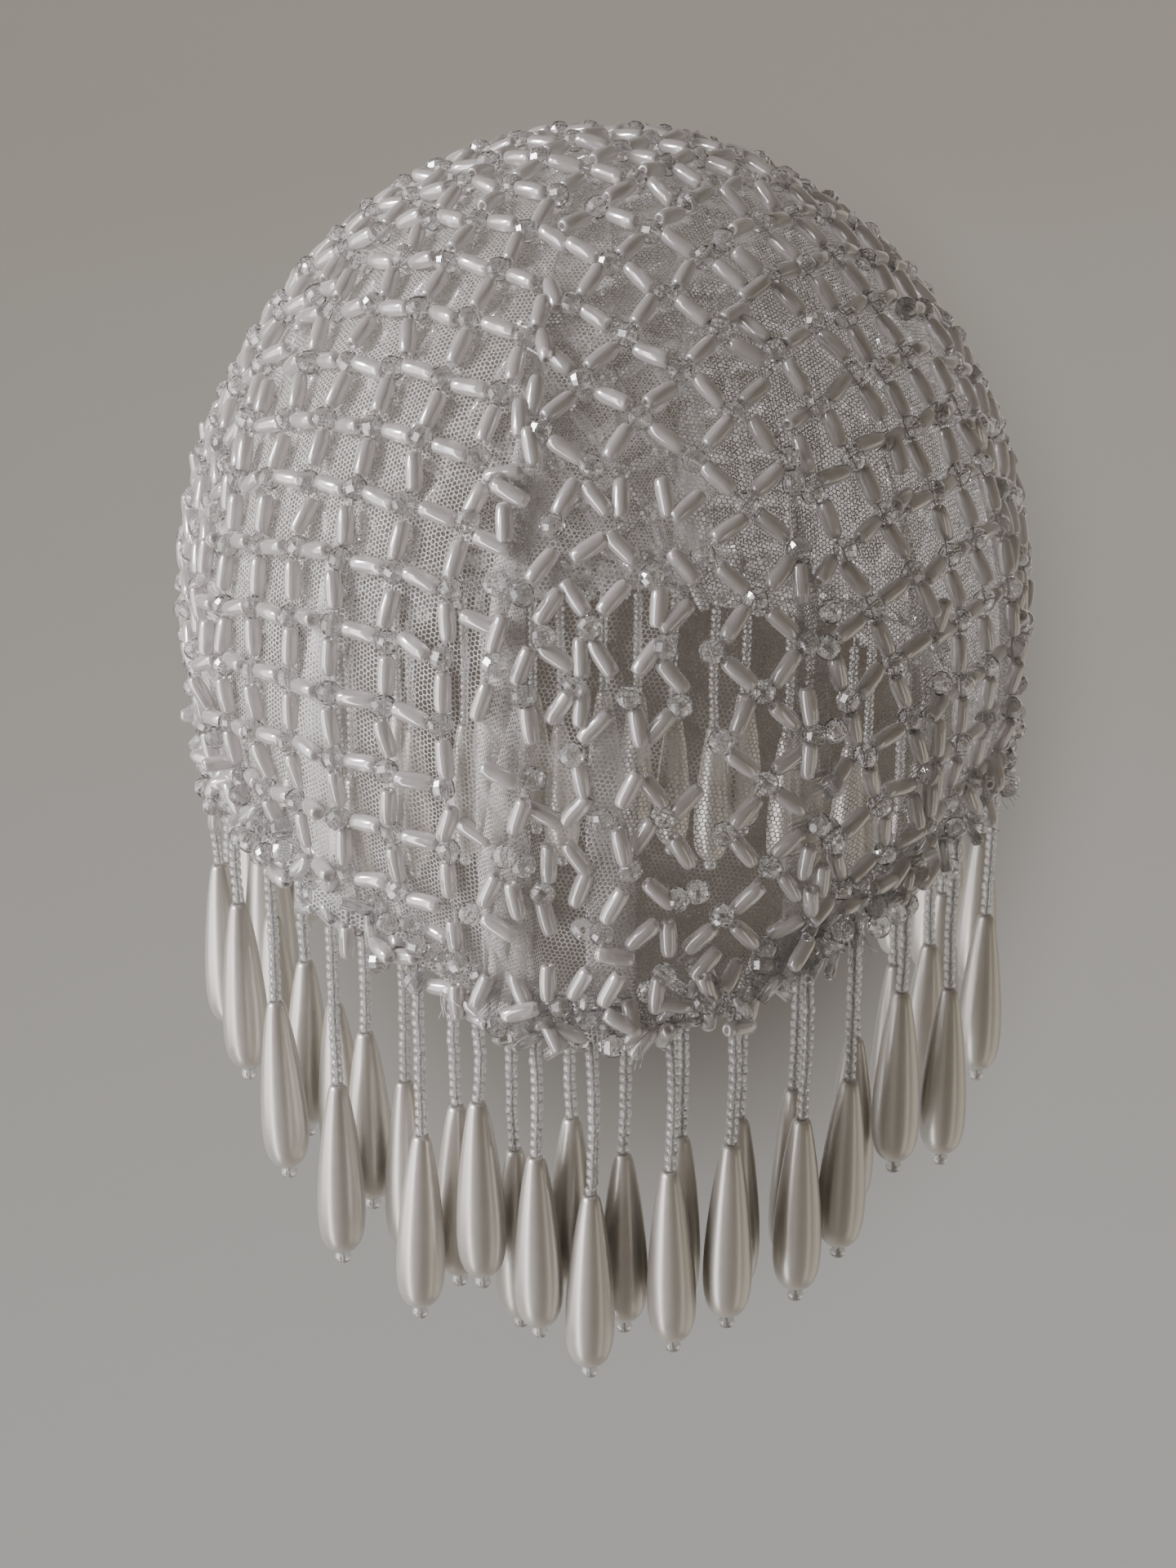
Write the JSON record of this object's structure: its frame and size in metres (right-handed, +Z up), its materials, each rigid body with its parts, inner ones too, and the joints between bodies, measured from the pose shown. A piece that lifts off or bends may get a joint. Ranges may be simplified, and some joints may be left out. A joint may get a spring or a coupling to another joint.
{
  "type": "beaded hairnet cap with a pearl drop fringe",
  "caption": "Pleated tulle skullcap sewn with a lattice of pearl and crystal beads, with a beaded hem and a fringe of teardrop pearls hung on seed bead strands.",
  "frame": {"origin": "centre of the head opening, on the cap's vertical axis and near the level of the hem at the sides", "axes": "+Z up towards the crown, -Y towards the front, where the hem dips lowest, +X towards the right side as the front is seen"},
  "size_m": [0.1538, 0.1887, 0.188],
  "materials": {
    "tulle": "white hexagonal net, sheer, with clear crystals and oblong pearls sewn on",
    "hem_beads": "clear faceted crystals, tube beads and seed beads",
    "pearl": "ivory pearl lacquer with a satin lustre"
  },
  "bodies": {
    "root": {"net_cap": "tulle", "hem_band": "hem_beads", "fringe": "pearl", "pearl_drop_01": "pearl", "pearl_drop_02": "pearl", "pearl_drop_03": "pearl", "pearl_drop_04": "pearl", "pearl_drop_05": "pearl", "pearl_drop_06": "pearl", "pearl_drop_07": "pearl", "pearl_drop_08": "pearl", "pearl_drop_09": "pearl", "pearl_drop_10": "pearl", "pearl_drop_11": "pearl", "pearl_drop_12": "pearl", "pearl_drop_13": "pearl", "pearl_drop_14": "pearl", "pearl_drop_15": "pearl", "pearl_drop_16": "pearl", "pearl_drop_17": "pearl", "pearl_drop_18": "pearl", "pearl_drop_19": "pearl", "pearl_drop_20": "pearl", "pearl_drop_21": "pearl", "pearl_drop_22": "pearl", "pearl_drop_23": "pearl", "pearl_drop_24": "pearl", "pearl_drop_25": "pearl", "pearl_drop_26": "pearl", "pearl_drop_27": "pearl", "pearl_drop_28": "pearl", "pearl_drop_29": "pearl", "pearl_drop_30": "pearl"}
  },
  "joints": []
}
